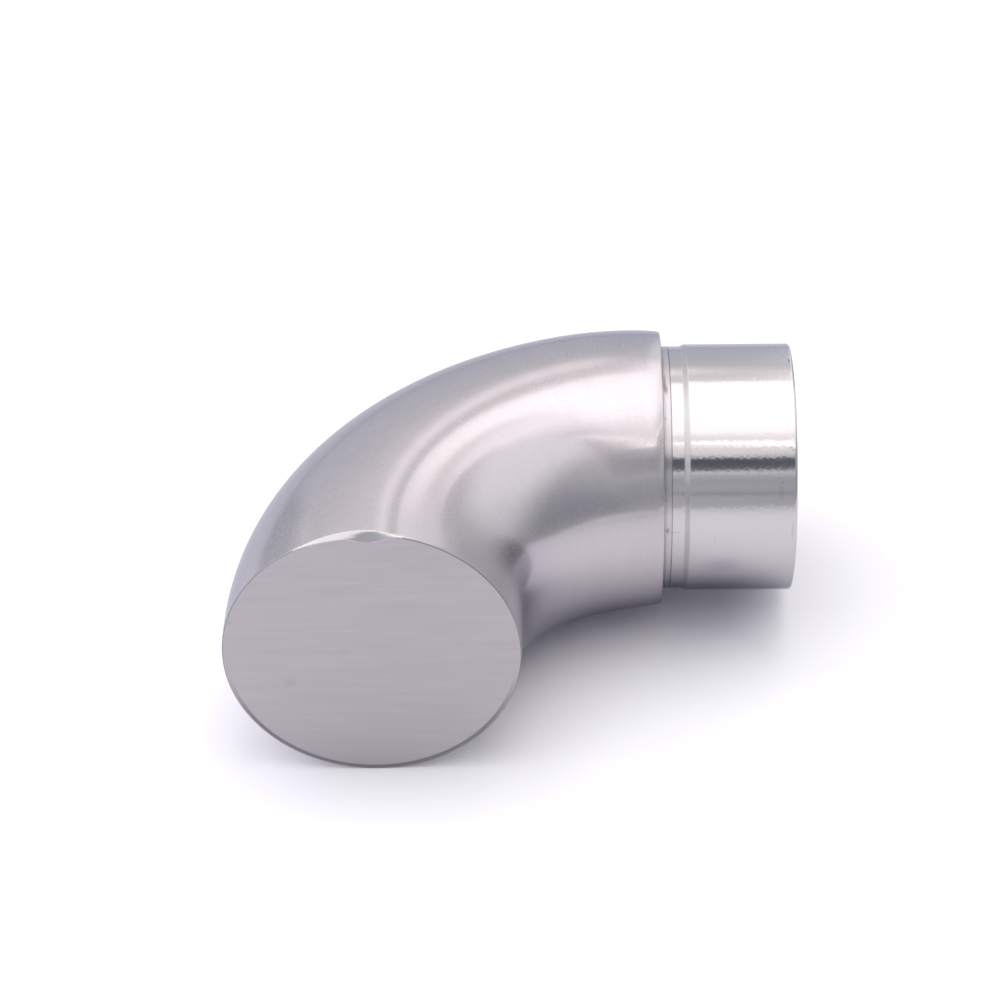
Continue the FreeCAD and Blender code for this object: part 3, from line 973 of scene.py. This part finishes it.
# The bright seam of the ceiling starts to rise at a place along X and climbs as a root of the
# distance from there. The cloth under it is stretched from its foot upwards.
SEAM_START, SEAM_CLIMB = 190 * MM, math.radians(2.37) / math.sqrt(MM)
SEAM_FOOT, SEAM = math.radians(45), math.radians(56)
# Half its width, where it fades along X and to what share, and its light
SEAM_HALF, SEAM_FADES, SEAM_FAINT, SEAM_LIGHT = 11 * MM, (205 * MM, 280 * MM), 0.4, (3.4, -0.8)


def side_cloth(name, front, back, turns, slant, dims):
    """The cloth of one side: bands by height, going from the front to the back between two
    places along Y, which a slant brings further to the front with the height, and growing
    dimmer between two other places."""
    nodes = Nodes(bpy.data.materials.new(name))
    place = nodes.own_place()
    _, y, z = nodes.apart(place)
    slanted = nodes.math("MULTIPLY_ADD", z, slant, y)
    to_back = nodes.fit(slanted, *turns, 0, 1, smooth=True)
    over_floor = nodes.minus(z, nodes.fit(y, *FLOOR_RISES, 0, FLOOR_RISE))
    cloth = nodes.mix(to_back, tent_ramp(nodes, over_floor, front, MM),
                      tent_ramp(nodes, z, back, MM))
    dimmer = nodes.fit(y, *dims, 0, 1, smooth=True)
    return glow(nodes, nodes.mix(dimmer, cloth, nodes.vector("MULTIPLY", cloth, (DIM_END,) * 3)))


# How dim the cloth of a side gets
DIM_END = 0.58
# Where the pale floor, carried on over the foot of the cloth, climbs towards the front, and by
# how much
FLOOR_RISES, FLOOR_RISE = (-60 * MM, -330 * MM), 20 * MM
# For each side: where its cloth goes over to the back, the slant of that, and where it dims
RIGHT_CHANGES = ((-20 * MM, 160 * MM), 0.667, (150 * MM, 310 * MM))
LEFT_CHANGES = ((60 * MM, 260 * MM), 0.0, (-120 * MM, -320 * MM))


def add_tent(stage):
    """A light tent round the object, seen only in what it lights and in reflections."""
    deselect_all()
    bpy.ops.mesh.primitive_cylinder_add(
        vertices=96, radius=stage.tent_radius, depth=stage.tent_width,
        location=TENT_MIDDLE, rotation=(0, math.pi / 2, 0),
    )
    tent = bpy.context.object
    tent.name = tent.data.name = "light_tent"
    bpy.ops.object.transform_apply(location=False, rotation=True, scale=False)
    bpy.ops.object.mode_set(mode="EDIT")
    bpy.ops.mesh.select_all(action="SELECT")
    bpy.ops.mesh.bisect(
        plane_co=TENT_MIDDLE - Vector((0, 0, BODY_RADIUS + MM)), plane_no=(0, 0, 1),
        clear_inner=True,
    )
    bpy.ops.object.mode_set(mode="OBJECT")
    for cloth in (
        cloth_over(),
        side_cloth("cloth_right", RIGHT_FRONT, RIGHT_BACK, *RIGHT_CHANGES),
        side_cloth("cloth_left", LEFT_FRONT, LEFT_BACK, *LEFT_CHANGES),
    ):
        tent.data.materials.append(cloth)
    for face in tent.data.polygons:
        face.material_index = 1 if face.normal.x > 0.5 else 2 if face.normal.x < -0.5 else 0
    tent.visible_camera = False


def outside_casting(nodes, place):
    """How far a point of the floor lies outside the casting's outline as seen from above, or
    inside it, where the distance is negative."""
    x, y, _ = nodes.apart(place)
    hub_x, hub_y = RIM_PLANE, RAIL_AXIS - RIM_PLANE
    round_hub = nodes.flat(nodes.least(x, hub_x), nodes.most(y, hub_y))
    from_hub = nodes.vector("DISTANCE", round_hub, (hub_x, hub_y, 0))
    beside = nodes.minus(nodes.gap(from_hub, RIM_PLANE), BODY_RADIUS)
    past = nodes.most(nodes.times(y, -1.0), nodes.minus(x, NODE_HIGH.x))
    outside = nodes.vector("LENGTH", nodes.flat(nodes.most(beside, 0.0), nodes.most(past, 0.0)))
    inside = nodes.least(nodes.most(beside, past), 0.0)
    return nodes.plus(outside, inside)


def add_floor(stage):
    """A pale floor that keeps the object's shadow and turns pure white away from it, also
    behind the tent, where only a camera at another angle sees it. Near the casting this is painted
    light: a glow, seen only by the camera and in reflections, that grows with the distance from
    the casting's outline, so the shadow stays dark beside it and fades fast further out."""
    deselect_all()
    bpy.ops.mesh.primitive_plane_add(size=6, location=(0, 0, -BODY_RADIUS))
    floor = bpy.context.object
    floor.name = floor.data.name = "floor"
    nodes = Nodes(bpy.data.materials.new("pale_floor"))
    place = nodes.own_place()
    # Painted light: the floor glows for the camera and in reflections, more the further it lies
    # from the casting
    away = outside_casting(nodes, place)
    share_out = nodes.plus(nodes.fit(away, *LIFT_NEAR, 0, NEAR_SHARE),
                           nodes.fit(away, *LIFT_FAR, 0, 1 - NEAR_SHARE))
    lift = nodes.times(share_out, stage.floor_lift)
    x, y, _ = nodes.apart(place)
    past_tent = nodes.most(nodes.minus(nodes.gap(x, TENT_MIDDLE.x), stage.tent_width / 2),
                           nodes.minus(nodes.gap(y, TENT_MIDDLE.y), stage.tent_radius))
    lift = nodes.plus(lift, nodes.fit(past_tent, 0, 2 * MM, 0, 1))
    shader = nodes.add("BsdfPrincipled", {
        "Base Color": plain_colour(stage.floor_colour),
        "Roughness": 0.9,
        "Specular IOR Level": 0.2,
        "Emission Color": (1, 1, 1, 1),
        "Emission Strength": nodes.times(nodes.seen(), lift),
    })
    floor.data.materials.append(nodes.finish(shader.outputs[0]))


# Where the floor's lift, a painted glow, grows, by how far a place is outside the casting's
# outline, and the share of it that comes first
LIFT_NEAR, LIFT_FAR, NEAR_SHARE = (-10 * MM, MM), (MM, 13 * MM), 0.62


def set_world(stage):
    """A plain light room, which the camera and reflections see as white."""
    world = bpy.data.worlds.new("studio")
    bpy.context.scene.world = world
    nodes = Nodes(world)
    strength = nodes.fit(nodes.seen(), 0, 1, stage.world_level, 1.0)
    light = nodes.add("Background", {"Color": (1, 1, 1, 1), "Strength": strength})
    nodes.finish(light.outputs[0], "OutputWorld")


def add_camera(stage):
    """The camera at the photograph's angle."""
    back = Vector((
        math.sin(stage.azimuth) * math.cos(stage.elevation),
        -math.cos(stage.azimuth) * math.cos(stage.elevation),
        math.sin(stage.elevation),
    ))
    deselect_all()
    bpy.ops.object.camera_add(location=AIM + back * stage.distance)
    camera = bpy.context.object
    camera.name = "camera"
    camera.rotation_mode = "QUATERNION"
    camera.rotation_quaternion = (
        back.to_track_quat("Z", "Y") @ Quaternion((0, 0, 1), stage.roll)
    )
    camera.data.lens = stage.lens
    camera.data.clip_start, camera.data.clip_end = 0.01, 10
    bpy.context.scene.camera = camera


class WALLRETURN_OT_casting(bpy.types.Operator):
    """Model the hollow casting and give each part its finish"""

    bl_idname = "wall_return.casting"
    bl_label = "Model the Casting"

    def execute(self, context):
        sizes, finish = context.scene.wall_return_sizes, context.scene.wall_return_finish
        casting = model_casting(sizes)
        mark_along(casting, sizes)
        finish_casting(casting, sizes, finish)
        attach(casting, "root")
        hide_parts("wall_return")
        return {"FINISHED"}


class WALLRETURN_OT_stage(bpy.types.Operator):
    """Set up the floor, the light tent, the room and the camera"""

    bl_idname = "wall_return.stage"
    bl_label = "Set Up the Studio"

    def execute(self, context):
        stage = context.scene.wall_return_stage
        context.scene.view_settings.view_transform = "Standard"
        add_floor(stage)
        add_tent(stage)
        set_world(stage)
        add_camera(stage)
        return {"FINISHED"}


class WALLRETURN_PT_panel(bpy.types.Panel):
    """Sizes, finishes and studio of the wall return"""

    bl_label = "Wall Return"
    bl_idname = "WALLRETURN_PT_panel"
    bl_space_type = "VIEW_3D"
    bl_region_type = "UI"
    bl_category = "Wall Return"

    def draw(self, context):
        parts = (
            ("Sizes", context.scene.wall_return_sizes, "wall_return.casting"),
            ("Finish", context.scene.wall_return_finish, None),
            ("Studio", context.scene.wall_return_stage, "wall_return.stage"),
        )
        for title, group, operator in parts:
            box = self.layout.box()
            box.label(text=title)
            for name in group.__annotations__:
                box.prop(group, name)
            if operator:
                box.operator(operator)


CLASSES = (
    WallReturnSizes, WallReturnFinish, WallReturnStage, WALLRETURN_OT_casting,
    WALLRETURN_OT_stage, WALLRETURN_PT_panel,
)


def register():
    for each in CLASSES:
        bpy.utils.register_class(each)
    scene = bpy.types.Scene
    scene.wall_return_sizes = bpy.props.PointerProperty(type=WallReturnSizes)
    scene.wall_return_finish = bpy.props.PointerProperty(type=WallReturnFinish)
    scene.wall_return_stage = bpy.props.PointerProperty(type=WallReturnStage)


def unregister():
    scene = bpy.types.Scene
    del scene.wall_return_sizes, scene.wall_return_finish, scene.wall_return_stage
    for each in reversed(CLASSES):
        bpy.utils.unregister_class(each)


def main():
    register()
    bpy.ops.wall_return.stage()
    bpy.ops.wall_return.casting()


if __name__ == "__main__":
    main()
